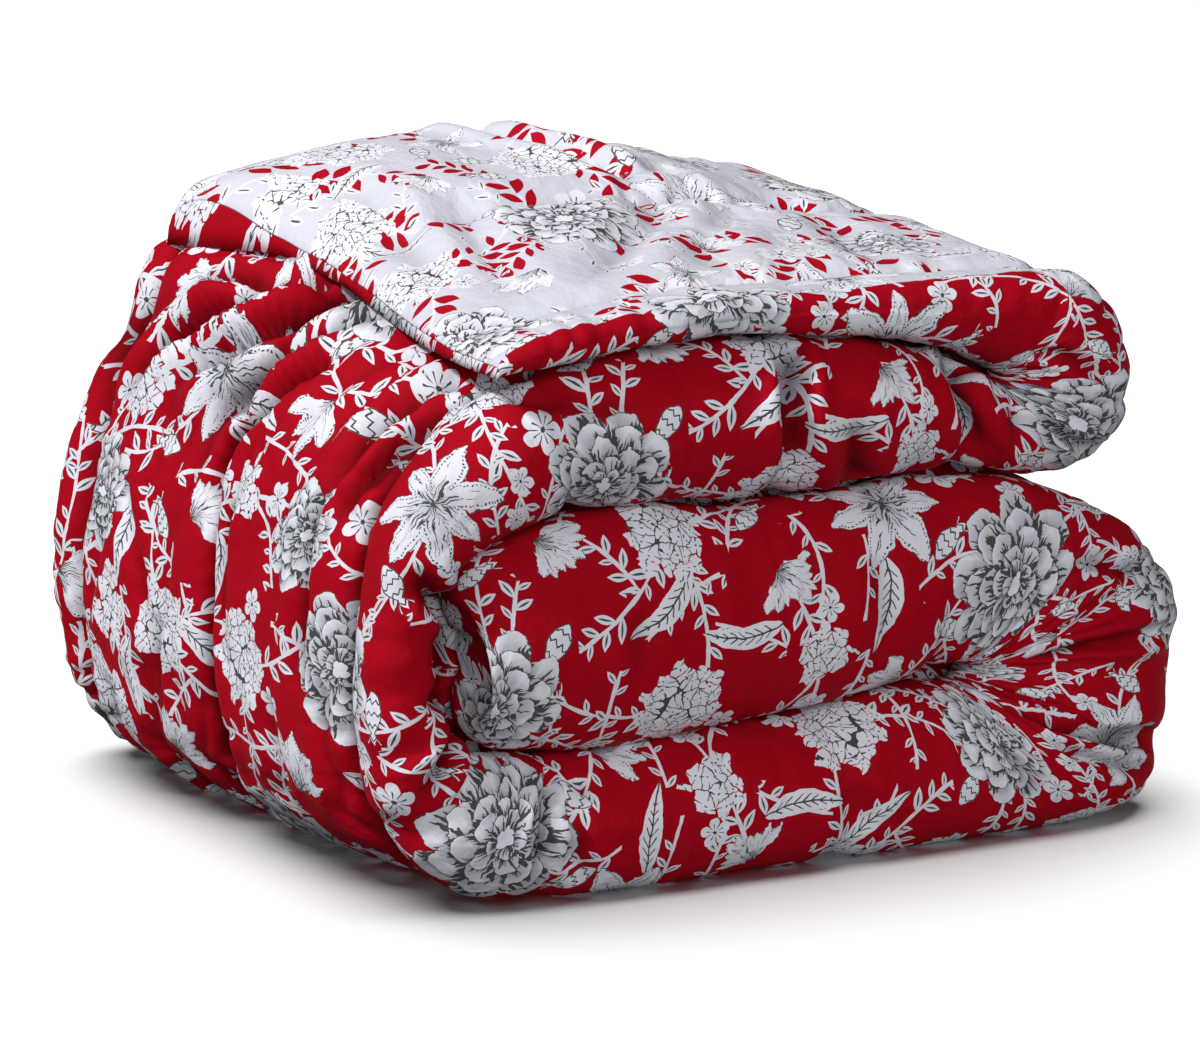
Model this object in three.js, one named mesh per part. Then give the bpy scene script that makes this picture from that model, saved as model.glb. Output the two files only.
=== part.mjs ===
// A filled, quilted comforter (razai), folded into one thick strip and then back and forth into a
// bundle. The strip starts inside the bundle, runs right, turns down and back along the floor,
// wraps up round the left side, runs right again and ends as a thin flap with its reverse side up.
// Millimetres, +Z up, X along the front of the bundle, Y from the front to the back.
import * as THREE from 'three';

// the sewn lines, which run along the strip
const seamCount = 3;
const seamPitch = 200;
const firstSeam = -175;          // the one nearest the front
const seamDip = 8;               // how far a sewn line draws the face in
const seamReach = 17;            // how far that dip spreads to each side
const seamDepthLimit = 0.4;      // of the half thickness, the most that a sewn line draws in
const puff = 1.6;                // how far a channel stands proud between two sewn lines

// the long edges and the cut ends
const frontLimit = -265;         // where the strip's foremost layer ends
const backEdge = 283;            // the hidden edge of the strip
const rollMost = 50;             // the largest radius of the rolled long edges
const rollClearance = 2;         // between a roll and the last grid line before it
const innerEndRound = 34;        // the rounding of the hidden cut end
const flapEndRound = 34;         // the softer rounding of the flap's end
const flapEndPower = 2.4;
const leastThickness = 1;        // of half a face at the very ends
const endShare = 0.12;           // of the rounding, what the first and last sections leave off
const stationStep = 30;          // the most between two sections along the strip
const flapEndStep = 9;           // and near the flap's end
const tuckReach = 75;            // how deep a tuck runs in from the front and back edges

// the bundle as a whole: fuller behind than at its front, and tallest left of its middle
const crown = { rise: 0.112, x: -40, left: 230, right: 330, fall: 0.8 };
const crownDepth = { start: 0.12, full: 0.86, drop: 0.25 };   // shares of the way to the back
const bulge = { most: 4, reach: 250 };   // how much further the wrapped side reaches behind
const bodyPower = 0.7;                   // how quickly a channel fills out from the edges
const middle = { x: 17.7, y: 6 };        // the middle of the bundle's box, moved to the origin

// the flap's end: drawn in behind its middle, thin, and puffed only at its back corner
const pull = { most: 36, y: 76, reach: 205, stopFrom: 116, stopAt: 236, along: 200 };
const tip = { reach: 90, puffFrom: 90, puffAt: 180 };

// the reverse cloth over the flap
const reverseLength = 430;
const reverseInset = 5;          // from the flap's end to the reverse cloth
const clothGap = 0.4;            // between the filled body and the reverse cloth
const clothThick = 1.6;

// Sections across the strip, from its inner end to the end of the flap: where its outer and its
// inner face lie (outer is outward of the wrap, and the underside of the flap) and where its long
// edges end. swell is what a section gains where the bundle is fullest, on the outer face, or on
// the inner one where it is negative, and tuck is the depth of a gathered crease at its edges.
const foldTable = [
  // inner layer, running right
  { outX: -236, outZ: 218, inX: -222, inZ: 102, front: -250, back: 270 },
  { outX: -193, outZ: 236, inX: -180, inZ: 99, front: -262, back: 280 },
  { outX: -113, outZ: 251, inX: -107, inZ: 96, front: -266, back: 283 },
  { outX: -27, outZ: 243, inX: -23, inZ: 102, front: -266, back: 283 },
  { outX: 58, outZ: 246, inX: 62, inZ: 107, front: -265, back: 282 },
  { outX: 130, outZ: 248, inX: 125, inZ: 117, front: -264, back: 283, tuck: 4 },
  { outX: 187, outZ: 242, inX: 150, inZ: 119, front: -262, back: 281 },
  // turn down at the right
  { outX: 239, outZ: 226, inX: 160, inZ: 118, front: -260, back: 278 },
  { outX: 287, outZ: 204, inX: 164, inZ: 117, front: -256, back: 276 },
  { outX: 326, outZ: 171, inX: 166, inZ: 115, front: -250, back: 274, tuck: 5 },
  { outX: 336, outZ: 130, inX: 167, inZ: 112, front: -250, back: 274 },
  { outX: 332, outZ: 86, inX: 166, inZ: 109, front: -252, back: 274 },
  { outX: 325, outZ: 41, inX: 164, inZ: 107, front: -258, back: 276, tuck: 5 },
  { outX: 299, outZ: 8, inX: 160, inZ: 105, front: -266, back: 279 },
  // bottom layer, running left along the floor
  { outX: 250, outZ: -2, inX: 150, inZ: 105, front: -271, back: 282 },
  { outX: 182, outZ: -2, inX: 134, inZ: 106, front: -272, back: 283 },
  { outX: 118, outZ: -2, inX: 100, inZ: 108, front: -272, back: 283 },
  { outX: 42, outZ: -2, inX: 38, inZ: 99, front: -272, back: 282, tuck: 5 },
  { outX: -38, outZ: -2, inX: -42, inZ: 96, front: -271, back: 283 },
  { outX: -109, outZ: -2, inX: -111, inZ: 90, front: -269, back: 284 },
  { outX: -175, outZ: -2, inX: -165, inZ: 92, front: -264, back: 283, tuck: 5 },
  { outX: -231, outZ: 10, inX: -193, inZ: 96, front: -257, back: 281, swell: 6 },
  // up round the left side
  { outX: -273, outZ: 53, inX: -218, inZ: 101, front: -248, back: 277, swell: 8, tuck: 6 },
  { outX: -288, outZ: 105, inX: -239, inZ: 121, front: -241, back: 275, swell: 5 },
  { outX: -290, outZ: 157, inX: -247, inZ: 159, front: -240, back: 275, swell: 3 },
  { outX: -287, outZ: 204, inX: -245, inZ: 196, front: -242, back: 275, swell: 1 },
  { outX: -275, outZ: 251, inX: -230, inZ: 223, front: -247, back: 273, swell: 1 },
  { outX: -251, outZ: 292, inX: -206, inZ: 238, front: -252, back: 272, swell: 6 },
  { outX: -213, outZ: 322, inX: -179, inZ: 248, front: -256, back: 273, swell: 10 },
  // upper layer, running right
  { outX: -170, outZ: 338, inX: -150, inZ: 256, front: -256, back: 277, swell: 5, tuck: 8 },
  { outX: -113, outZ: 352, inX: -107, inZ: 257, front: -261, back: 281, swell: 1 },
  { outX: -24, outZ: 357, inX: -26, inZ: 249, front: -263, back: 283 },
  { outX: 4, outZ: 356, inX: 4, inZ: 249, front: -262, back: 282, tuck: 7 },
  { outX: 53, outZ: 352, inX: 49, inZ: 251, front: -263, back: 281 },
  { outX: 98, outZ: 345, inX: 98, inZ: 253, front: -262, back: 280 },
  { outX: 122, outZ: 338, inX: 147, inZ: 254, front: -256, back: 279, tuck: 7 },
  { outX: 152, outZ: 327, inX: 185, inZ: 249, front: -250, back: 276 },
  // turn up at the right
  { outX: 174, outZ: 315, inX: 221, inZ: 241, front: -248, back: 273 },
  { outX: 186, outZ: 307, inX: 257, inZ: 246, front: -250, back: 271, tuck: 4 },
  { outX: 188, outZ: 309, inX: 283, inZ: 276, front: -254, back: 268 },
  { outX: 188, outZ: 312, inX: 286, inZ: 312, front: -256, back: 264 },
  { outX: 186, outZ: 315, inX: 275, inZ: 350, front: -255, back: 259 },
  { outX: 181, outZ: 319, inX: 248, inZ: 374, front: -253, back: 254 },
  { outX: 171, outZ: 325, inX: 210, inZ: 380, front: -251, back: 245 },
  // flap, running left with its reverse side up
  { outX: 146, outZ: 337, inX: 166, inZ: 381, front: -250, back: 243 },
  { outX: 98, outZ: 350, inX: 106, inZ: 384, front: -250, back: 246, swell: -2 },
  { outX: 51, outZ: 357, inX: 53, inZ: 386, front: -250, back: 249, swell: -4 },
  { outX: -19, outZ: 361, inX: -19, inZ: 387, front: -250, back: 250, swell: -5 },
  { outX: -90, outZ: 360, inX: -92, inZ: 384, front: -250, back: 250, swell: -6 },
  { outX: -147, outZ: 357, inX: -148, inZ: 378, front: -250, back: 249, swell: -7 },
  { outX: -184, outZ: 354, inX: -185, inZ: 371, front: -249, back: 245, swell: -9 },
  { outX: -214, outZ: 350, inX: -215, inZ: 366, front: -246, back: 238, swell: -10 },
];

// Depths of the grid lines between the rolled edges: the sewn lines and what lies between them.
const channelLines = [0, 35, 100, 165];
const seams = Array.from({ length: seamCount }, (_, n) => firstSeam + n * seamPitch);
const depths = [
  ...seams.slice(0, -1).flatMap((seam) => channelLines.map((step) => seam + step)),
  seams[seamCount - 1],
];
const rollAngles = [30, 60, 90];     // grid lines round a rolled edge, in degrees

const smooth = (from, to, value) => THREE.MathUtils.smoothstep(value, from, to);
const mix = THREE.MathUtils.lerp;
const bell = (distance, reach) => Math.exp(-((distance / reach) ** 2));

// A smooth line through one face of the table's sections, with every section kept.
function faceCurve(xKey, zKey) {
  const points = foldTable.map((row) => new THREE.Vector3(row[xKey], 0, row[zKey]));
  return new THREE.CatmullRomCurve3(points, false, 'centripetal');
}

// Sections along the strip, close enough together for its bends and for the flap's round end.
function makeStations() {
  const outerLine = faceCurve('outX', 'outZ');
  const innerLine = faceCurve('inX', 'inZ');
  const last = foldTable.length - 1;
  const stations = [];
  for (let r = 0; r <= last; r++) {
    const here = foldTable[r];
    const next = foldTable[Math.min(r + 1, last)];
    const span = Math.max(
      Math.hypot(next.outX - here.outX, next.outZ - here.outZ),
      Math.hypot(next.inX - here.inX, next.inZ - here.inZ));
    const step = r === last - 1 ? flapEndStep : stationStep;
    const count = r === last ? 1 : Math.ceil(span / step);
    for (let i = 0; i < count; i++) {
      const place = (r + i / count) / last;
      const outer = outerLine.getPoint(place);
      const inner = innerLine.getPoint(place);
      const across = outer.clone().sub(inner);
      const blend = (key) => mix(here[key] ?? 0, next[key] ?? 0, smooth(0, 1, i / count));
      stations.push({
        core: outer.add(inner).multiplyScalar(0.5),
        half: across.length() / 2,
        outward: across.normalize(),
        front: blend('front'),
        back: blend('back'),
        swell: blend('swell'),
        tuck: i === 0 ? here.tuck ?? 0 : 0,
      });
    }
  }
  measure(stations);
  return stations;
}

// How far each section lies along the strip, and how much of its thickness its end leaves it.
function measure(stations) {
  let along = 0;
  stations.forEach((station, i) => {
    along += station.core.distanceTo(stations[Math.max(i - 1, 0)].core);
    station.along = along;
  });
  stations.forEach((station) => {
    station.fromFlapEnd = along - station.along;
    const innerRound = Math.min(innerEndRound, station.half);
    const innerInset = Math.max(0, 1 - endShare - station.along / innerRound);
    const flapInset = Math.max(0, 1 - endShare - station.fromFlapEnd / flapEndRound);
    station.left = Math.cbrt(1 - innerInset ** 3) * Math.sqrt(1 - flapInset ** flapEndPower);
  });
}

// How far the filling has come up at a depth: nothing along the front, most of it well behind.
function crownAt(y) {
  const depth = (y - frontLimit) / (backEdge - frontLimit);
  const { start, full, drop } = crownDepth;
  return smooth(start, full, depth) * (1 - drop * smooth(full, 1, depth));
}

// Where a point of the plain folded strip ends up once the bundle is crowned and bulged.
function settle(x, y, z) {
  const depth = (y - frontLimit) / (backEdge - frontLimit);
  const reach = x < crown.x ? crown.left : crown.right;
  const rise = crown.rise * (1 - crown.fall * ((x - crown.x) / reach) ** 2);
  const lean = -bulge.most * smooth(0, 1, depth) * smooth(0, bulge.reach, -x);
  return new THREE.Vector3(
    x + lean - middle.x, y - middle.y, Math.max(0, z * (1 + rise * crownAt(y))));
}

// One point of the strip's face: side is +1 on the outer face and -1 on the other.
function facePoint(station, y, edgeShare, side) {
  const { core, outward, half, left, front, back, swell, tuck, fromFlapEnd } = station;
  const depth = THREE.MathUtils.clamp((y - front) / (back - front), 0, 1);
  const body = Math.sin(Math.PI * depth) ** bodyPower;
  const atTip = 1 - smooth(0, tip.reach, fromFlapEnd);
  const grown = Math.abs(swell) * mix(crownAt(y), smooth(tip.puffFrom, tip.puffAt, y), atTip);
  const sewn = Math.max(...seams.map((seam) => bell(y - seam, seamReach)));
  const drawn = Math.min(half * seamDepthLimit, seamDip) * sewn - puff * body * (1 - sewn);
  const tucked = tuck * bell(Math.min(y - front, back - y), tuckReach);
  const thick = Math.max(leastThickness, (half + grown - drawn - tucked) * left) * edgeShare;
  const sink = fromFlapEnd < tip.reach ? half * (1 - left) : 0;
  const reach = Math.sign(swell) * grown * left + sink + side * thick;
  const stopped = 1 - smooth(pull.stopFrom, pull.stopAt, y);
  const inward = pull.most * bell(y - pull.y, pull.reach) * stopped
    * (1 - smooth(0, pull.along, fromFlapEnd));
  return settle(core.x + outward.x * reach + inward, y, core.z + outward.z * reach);
}

// The grid lines of one face of a section, from the front edge to the back edge.
function faceLine(station, side) {
  const roll = Math.min(rollMost, station.half * station.left);
  const rolled = rollAngles.map((angle) => {
    const turn = THREE.MathUtils.degToRad(angle);
    return { inset: roll * (1 - Math.cos(turn)), share: Math.sin(turn) };
  });
  const start = station.front + station.tuck;
  const near = rolled.map(({ inset, share }) => [start + inset, share]);
  const flat = depths.map((y) => [Math.min(y, station.back - roll - rollClearance), 1]);
  const far = rolled.map(({ inset, share }) => [station.back - inset, share]).reverse();
  return [...near, ...flat, ...far].map(([y, share]) => facePoint(station, y, share, side));
}

function makeSections() {
  return makeStations().map((station) => {
    const outer = faceLine(station, 1);
    const inner = faceLine(station, -1);
    const frontEdge = facePoint(station, station.front + station.tuck, 0, 1);
    const backLine = facePoint(station, station.back, 0, 1);
    return { station, ring: [frontEdge, ...outer, backLine, ...inner.reverse()] };
  });
}

function makeMesh(name, points, faces, finish) {
  const places = new THREE.Float32BufferAttribute(points.flatMap((p) => p.toArray()), 3);
  const geometry = new THREE.BufferGeometry();
  geometry.setAttribute('position', places);
  geometry.setIndex(faces.flat());
  const mesh = new THREE.Mesh(geometry, new THREE.MeshStandardMaterial(finish));
  mesh.name = name;
  return mesh;
}

const quad = (a, b, c, d) => [[a, b, c], [a, c, d]];

// The whole filled strip: rings joined along it, with a seam of quads across each end.
function makeBody(sections) {
  const count = sections[0].ring.length;
  const points = sections.flatMap((section) => section.ring);
  const at = (i, j) => i * count + (j % count);
  const faces = [];
  for (let i = 0; i < sections.length - 1; i++) {
    for (let j = 0; j < count; j++) {
      faces.push(...quad(at(i, j), at(i + 1, j), at(i + 1, j + 1), at(i, j + 1)));
    }
  }
  for (const [i, flip] of [[0, false], [sections.length - 1, true]]) {
    for (let j = 0; j < count / 2; j++) {
      const cap = quad(at(i, j), at(i, j + 1), at(i, count - j - 1), at(i, count - j))
        .filter((face) => new Set(face).size === 3);
      faces.push(...cap.map((face) => (flip ? [...face].reverse() : face)));
    }
  }
  const printedCotton = { color: 0xb5061f, roughness: 0.62, metalness: 0 };
  return makeMesh('quilt_body', points, faces, printedCotton);
}

// The reverse cloth: a thin sheet over the flap, from its front seam to the rolled back edge.
function makeReverse(sections) {
  const flap = sections.filter(({ station: { fromFlapEnd } }) => (
    fromFlapEnd > reverseInset && fromFlapEnd < reverseInset + reverseLength));
  const across = depths.length + 2;
  const first = rollAngles.length - 1;
  const tops = flap.map(({ ring }) => [...ring].reverse().slice(first, first + across));
  const end = tops.length - 1;
  const normalAt = (i, j) => {
    const along = tops[Math.min(i + 1, end)][j].clone().sub(tops[Math.max(i - 1, 0)][j]);
    const over = tops[i][Math.min(j + 1, across - 1)].clone().sub(tops[i][Math.max(j - 1, 0)]);
    return over.cross(along).normalize();
  };
  const layer = (lift) => tops.flatMap((row, i) => row.map(
    (p, j) => p.clone().addScaledVector(normalAt(i, j), lift)));
  const points = [...layer(clothGap), ...layer(clothGap + clothThick)];
  const low = (i, j) => i * across + j;
  const high = (i, j) => low(i, j) + tops.length * across;
  const back = across - 1;
  const faces = [];
  for (let i = 0; i < end; i++) {
    for (let j = 0; j < back; j++) {
      faces.push(...quad(high(i, j + 1), high(i + 1, j + 1), high(i + 1, j), high(i, j)));
      faces.push(...quad(low(i, j + 1), low(i, j), low(i + 1, j), low(i + 1, j + 1)));
    }
    faces.push(...quad(low(i, 0), high(i, 0), high(i + 1, 0), low(i + 1, 0)));
    faces.push(...quad(high(i, back), low(i, back), low(i + 1, back), high(i + 1, back)));
  }
  for (let j = 0; j < back; j++) {
    faces.push(...quad(high(0, j), low(0, j), low(0, j + 1), high(0, j + 1)));
    faces.push(...quad(low(end, j), high(end, j), high(end, j + 1), low(end, j + 1)));
  }
  const paleCotton = { color: 0xd9d9e2, roughness: 0.7, metalness: 0 };
  return makeMesh('reverse_panel', points, faces, paleCotton);
}

const sections = makeSections();
const group = new THREE.Group();
group.add(makeBody(sections), makeReverse(sections));

export default group;
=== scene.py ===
# A razai: a filled, quilted comforter folded into one thick strip and then back and forth into a
# bundle, with its flower-printed face outside and the paler reverse cloth up on the last flap.
import math
import bpy
import bmesh
import numpy as np
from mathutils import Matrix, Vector


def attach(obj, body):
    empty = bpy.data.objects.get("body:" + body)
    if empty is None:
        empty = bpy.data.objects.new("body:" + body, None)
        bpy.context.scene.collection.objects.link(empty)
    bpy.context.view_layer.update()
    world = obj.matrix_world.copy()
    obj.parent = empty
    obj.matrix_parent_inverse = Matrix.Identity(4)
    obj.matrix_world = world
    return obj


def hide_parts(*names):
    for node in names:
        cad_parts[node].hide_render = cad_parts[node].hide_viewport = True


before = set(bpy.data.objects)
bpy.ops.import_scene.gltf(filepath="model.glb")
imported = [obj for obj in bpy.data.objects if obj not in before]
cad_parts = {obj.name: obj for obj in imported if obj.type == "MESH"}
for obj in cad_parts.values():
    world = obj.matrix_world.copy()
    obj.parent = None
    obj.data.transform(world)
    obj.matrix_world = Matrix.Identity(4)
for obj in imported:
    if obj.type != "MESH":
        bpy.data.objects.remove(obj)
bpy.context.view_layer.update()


def toLinear(hexColour):
    # sRGB hex to the linear values that the shader sockets take
    values = [int(hexColour[i:i + 2], 16) / 255 for i in (1, 3, 5)]
    return [v / 12.92 if v <= 0.04045 else ((v + 0.055) / 1.055) ** 2.4 for v in values] + [1.0]


def addNode(tree, kind, settings, inputs):
    # one shader node; each input is a socket, a plain value, or None to leave it as it is
    node = tree.nodes.new("ShaderNode" + kind)
    for name, value in settings.items():
        setattr(node, name, value)
    for socket, value in zip(node.inputs, inputs):
        if isinstance(value, bpy.types.NodeSocket):
            tree.links.new(value, socket)
        elif value is not None:
            socket.default_value = value
    return node


def addObject(name, data):
    added = bpy.data.objects.new(name, data)
    bpy.context.scene.collection.objects.link(added)
    return added


def smooth(start, end, value):
    t = np.clip((value - start) / (end - start), 0, 1)
    return t * t * (3 - 2 * t)


def between(limits, value):
    # rises over the first two limits and falls over the last two
    return smooth(*limits[:2], value) * (1 - smooth(*limits[2:], value))


def bell(distance, reach):
    return np.exp(-(distance / reach) ** 2)


# The folded strip. Sizes are in millimetres until the mesh is made, and the table and the shape
# functions are the frame's own.
quilt = {
    "seamPitch": 200, "firstSeam": -175,      # the lines sewn along the strip
    "seamDip": 8, "seamReach": 17,            # how far a sewn line draws the face in, and how wide
    "dipMost": 0.4,                           # but no deeper than this share of half the thickness
    "puff": 1.6, "puffPower": 0.7,            # how proud a channel stands between two of them
    "frontLimit": -265, "backEdge": 283,
    "rollMost": 50,                           # the rolled long edges
    "endRound": 34, "flapRound": 34,          # the soft ends of the strip
    "crownRise": 0.112, "crownX": -40,        # fuller behind the front edge, most at this x
    "crownReach": (230, 330), "crownFall": 0.8,
    "crownDepth": (0.12, 0.86), "crownBack": 0.25,
    "bulge": 4, "bulgeReach": 250,            # how far the back leans out on the left
    "flapPull": 36, "pullMiddle": 76, "pullReach": 205, "pullStop": (116, 236),
    "pullLength": 200,                        # the end of the flap, drawn in at its middle
    "tipReach": 90, "tipPuff": (90, 180),     # the flap's end: thin, but puffed at its back corner
    "tuckReach": 75, "tuckWidth": 13,         # tucks at the turns: in from the edge, and along it
    "reverseLength": 430, "reverseInset": 4,  # the reverse cloth, and how far it ends short
    "reverseMargin": 60,                      # how far before it the flap's creases start
    "middle": (17.7, 6),                      # of the bundle's box, which is moved to the origin
    "fineSteps": 6000,                        # points that lengths along it are measured on
    "cell": 3.6,                              # the mesh's spacing along the strip
    "rollSteps": (15, 8),                     # mesh steps round the front and back rolls
    "flatSteps": (8, 44, 40, 2),              # between the roll, the sewn lines and the back roll
    "crowd": 0.66,                            # how much closer the mesh lines stand by a seam
}

# outX, outZ, inX, inZ, front, back, swell, tuck
foldTable = np.array([
    # inner layer, running right
    (-236, 218, -222, 102, -250, 270, 0, 0),
    (-193, 236, -180, 99, -262, 280, 0, 0),
    (-113, 251, -107, 96, -266, 283, 0, 0),
    (-27, 243, -23, 102, -266, 283, 0, 0),
    (58, 246, 62, 107, -265, 282, 0, 0),
    (130, 248, 125, 117, -264, 283, 0, 4),
    (187, 242, 150, 119, -262, 281, 0, 0),
    # turn down at the right
    (239, 226, 160, 118, -260, 278, 0, 0),
    (287, 204, 164, 117, -256, 276, 0, 0),
    (326, 171, 166, 115, -250, 274, 0, 5),
    (336, 130, 167, 112, -250, 274, 0, 0),
    (332, 86, 166, 109, -252, 274, 0, 0),
    (325, 41, 164, 107, -258, 276, 0, 5),
    (299, 8, 160, 105, -266, 279, 0, 0),
    # bottom layer, running left along the floor
    (250, -2, 150, 105, -271, 282, 0, 0),
    (182, -2, 134, 106, -272, 283, 0, 0),
    (118, -2, 100, 108, -272, 283, 0, 0),
    (42, -2, 38, 99, -272, 282, 0, 5),
    (-38, -2, -42, 96, -271, 283, 0, 0),
    (-109, -2, -111, 90, -269, 284, 0, 0),
    (-175, -2, -165, 92, -264, 283, 0, 5),
    (-231, 10, -193, 96, -257, 281, 6, 0),
    # up round the left side
    (-273, 53, -218, 101, -248, 277, 8, 6),
    (-288, 105, -239, 121, -241, 275, 5, 0),
    (-290, 157, -247, 159, -240, 275, 3, 0),
    (-287, 204, -245, 196, -242, 275, 1, 0),
    (-275, 251, -230, 223, -247, 273, 1, 0),
    (-251, 292, -206, 238, -252, 272, 6, 0),
    (-213, 322, -179, 248, -256, 273, 10, 0),
    # upper layer, running right
    (-170, 338, -150, 256, -256, 277, 5, 8),
    (-113, 352, -107, 257, -261, 281, 1, 0),
    (-24, 357, -26, 249, -263, 283, 0, 0),
    (4, 356, 4, 249, -262, 282, 0, 7),
    (53, 352, 49, 251, -263, 281, 0, 0),
    (98, 345, 98, 253, -262, 280, 0, 0),
    (122, 338, 147, 254, -256, 279, 0, 7),
    (152, 327, 185, 249, -250, 276, 0, 0),
    # turn up at the right
    (174, 315, 221, 241, -248, 273, 0, 0),
    (186, 307, 257, 246, -250, 271, 0, 4),
    (188, 309, 283, 276, -254, 268, 0, 0),
    (188, 312, 286, 312, -256, 264, 0, 0),
    (186, 315, 275, 350, -255, 259, 0, 0),
    (181, 319, 248, 374, -253, 254, 0, 0),
    (171, 325, 210, 380, -251, 245, 0, 0),
    # flap, running left with its reverse side up
    (146, 337, 166, 381, -250, 243, 0, 0),
    (98, 350, 106, 384, -250, 246, -2, 0),
    (51, 357, 53, 386, -250, 249, -4, 0),
    (-19, 361, -19, 387, -250, 250, -5, 0),
    (-90, 360, -92, 384, -250, 250, -6, 0),
    (-147, 357, -148, 378, -250, 249, -7, 0),
    (-184, 354, -185, 371, -249, 245, -9, 0),
    (-214, 350, -215, 366, -246, 238, -10, 0),
], dtype=float)
seams = [quilt["firstSeam"] + n * quilt["seamPitch"] for n in range(3)]


def curveThrough(points, rows):
    # a centripetal spline through the table's points, read at fractional rows
    ends = np.vstack([2 * points[0] - points[1], points, 2 * points[-1] - points[-2]])
    at = np.minimum(rows.astype(int), len(points) - 2)
    t = (rows - at)[:, None]
    p0, p1, p2, p3 = (ends[at + k] for k in range(4))
    gap = [np.maximum(np.sqrt(np.linalg.norm(b - a, axis=1)), 1e-3)[:, None]
           for a, b in ((p0, p1), (p1, p2), (p2, p3))]
    m1 = ((p1 - p0) / gap[0] - (p2 - p0) / (gap[0] + gap[1]) + (p2 - p1) / gap[1]) * gap[1]
    m2 = ((p2 - p1) / gap[1] - (p3 - p1) / (gap[1] + gap[2]) + (p3 - p2) / gap[2]) * gap[1]
    return (p1 + m1 * t + (3 * (p2 - p1) - 2 * m1 - m2) * t ** 2
            + (2 * (p1 - p2) + m1 + m2) * t ** 3)


def stepLengths(line):
    return np.r_[0, np.linalg.norm(np.diff(line, axis=0), axis=1)]


# lengths along the strip: the cloth is smooth on the outside of a bend and gathered inside it
fineRows = np.linspace(0, len(foldTable) - 1, quilt["fineSteps"])
fineOuter = curveThrough(foldTable[:, 0:2], fineRows)
fineInner = curveThrough(foldTable[:, 2:4], fineRows)
fineCore = (fineOuter + fineInner) / 2
fineAlong = np.cumsum(stepLengths(fineCore))
stripLength = fineAlong[-1]


def roundedHalf(half, along):
    # half the thickness, rounded off at the strip's two ends
    start = np.minimum(quilt["endRound"], half)
    atStart = np.clip(1 - along / start, 0, 1)
    atEnd = np.clip(1 - (stripLength - along) / quilt["flapRound"], 0, 1)
    return half * np.cbrt(1 - atStart ** 3) * np.sqrt(1 - atEnd ** 2.4)


fineHalf = np.linalg.norm(fineOuter - fineInner, axis=1) / 2
fineThin = (roundedHalf(fineHalf, fineAlong) / fineHalf)[:, None]
fineCloth = np.cumsum(np.maximum(
    stepLengths(fineCore + (fineOuter - fineCore) * fineThin),
    stepLengths(fineCore + (fineInner - fineCore) * fineThin)))
clothLength = fineCloth[-1]
rowCloth = np.interp(np.arange(len(foldTable)), fineRows, fineCloth)


def sectionsAt(cloth):
    # everything about the sections at these lengths of cloth, as columns
    rows = np.interp(cloth, fineCloth, fineRows)
    outer = curveThrough(foldTable[:, 0:2], rows)
    inner = curveThrough(foldTable[:, 2:4], rows)
    low = np.minimum(rows.astype(int), len(foldTable) - 2)
    share = smooth(0, 1, rows - low)[:, None]
    front, back, swell = (foldTable[low, 4:7] * (1 - share) + foldTable[low + 1, 4:7] * share).T
    across = outer - inner
    half = np.linalg.norm(across, axis=1) / 2
    along = np.interp(cloth, fineCloth, fineAlong)
    tuck = sum(row[7] * bell(cloth - u, quilt["tuckWidth"])
               for row, u in zip(foldTable, rowCloth) if row[7])
    columns = dict(front=front, back=back, swell=swell, tuck=tuck, cloth=cloth,
                   full=half, half=roundedHalf(half, along), fromEnd=stripLength - along,
                   coreX=(outer + inner)[:, 0] / 2, coreZ=(outer + inner)[:, 1] / 2,
                   outX=across[:, 0] / half / 2, outZ=across[:, 1] / half / 2)
    return {name: value[:, None] for name, value in columns.items()}


def depthShare(y):
    return (y - quilt["frontLimit"]) / (quilt["backEdge"] - quilt["frontLimit"])


def crownAt(y):
    start, full = quilt["crownDepth"]
    depth = depthShare(y)
    return smooth(start, full, depth) * (1 - quilt["crownBack"] * smooth(full, 1, depth))


def settle(x, y, z):
    # the plain folded strip, crowned and bulged, with the middle of its box at the origin
    reach = np.where(x < quilt["crownX"], *quilt["crownReach"])
    rise = quilt["crownRise"] * (1 - quilt["crownFall"] * ((x - quilt["crownX"]) / reach) ** 2)
    lean = -quilt["bulge"] * smooth(0, 1, depthShare(y)) * smooth(0, quilt["bulgeReach"], -x)
    return np.stack([x + lean - quilt["middle"][0], y - quilt["middle"][1] + 0 * x,
                     z * (1 + rise * crownAt(y))], axis=-1)


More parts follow.
